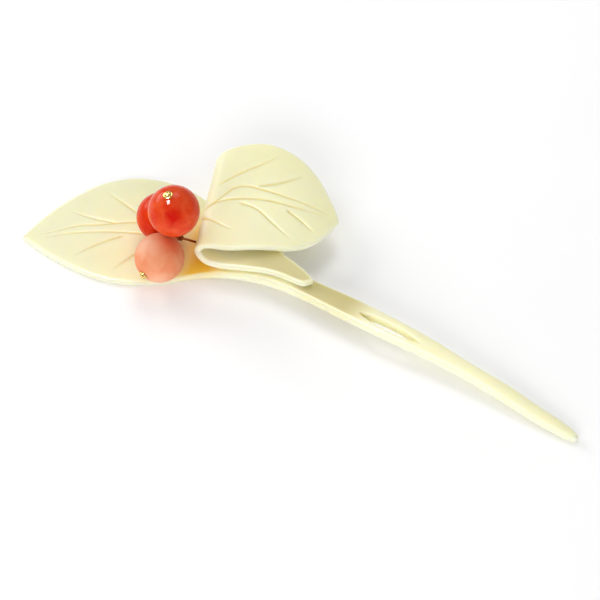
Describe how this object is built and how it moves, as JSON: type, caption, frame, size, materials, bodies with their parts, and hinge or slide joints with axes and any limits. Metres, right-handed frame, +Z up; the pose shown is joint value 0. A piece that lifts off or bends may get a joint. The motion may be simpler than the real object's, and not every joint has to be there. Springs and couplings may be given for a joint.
{
  "type": "decorative hair pin",
  "caption": "Resin hair stick shaped as a flat veined leaf on a slotted stem, with a curled second leaf and berry-like coral beads on gold headpins.",
  "frame": {"origin": "bottom centre of the whole pin's box, on the table that the pin lies on", "axes": "+X along the stem towards its tip, +Y towards the curled leaf's side, +Z up from the table"},
  "size_m": [0.1448, 0.0532, 0.027],
  "materials": {
    "body_resin": "polished ivory-coloured resin",
    "leaf_resin": "polished ivory-coloured resin",
    "peg_resin": "plain resin, hidden",
    "coral_red": "high polish",
    "coral_deep_red": "polished",
    "coral_pink": "satin, with paler swirls",
    "gold_wire": "polished gold colour",
    "bound_wire": "dark gold wire"
  },
  "bodies": {
    "pin": {"pin_body": "body_resin", "curled_leaf": "leaf_resin", "leaf_peg_front": "peg_resin", "leaf_peg_rear": "peg_resin", "headpin_red": "gold_wire", "headpin_deep_red": "gold_wire", "headpin_pink": "gold_wire", "wire_knot": "bound_wire", "wire_stalk": "bound_wire"},
    "red_bead": {"bead_red": "coral_red"},
    "deep_red_bead": {"bead_deep_red": "coral_deep_red"},
    "pink_bead": {"bead_pink": "coral_pink"}
  },
  "joints": [
    {"name": "red_bead_spin", "type": "hinge", "parent": "pin", "child": "red_bead", "pos_m": [-0.035, -0.01287, 0.02], "axis": [-0.0903, -0.2107, 0.9734], "continuous": true},
    {"name": "deep_red_bead_spin", "type": "hinge", "parent": "pin", "child": "deep_red_bead", "pos_m": [-0.0422, -0.00807, 0.0098], "axis": [-0.8982, 0.4391, -0.02], "continuous": true},
    {"name": "pink_bead_spin", "type": "hinge", "parent": "pin", "child": "pink_bead", "pos_m": [-0.0357, -0.01887, 0.0089], "axis": [-0.1306, -0.9748, -0.1809], "continuous": true}
  ]
}
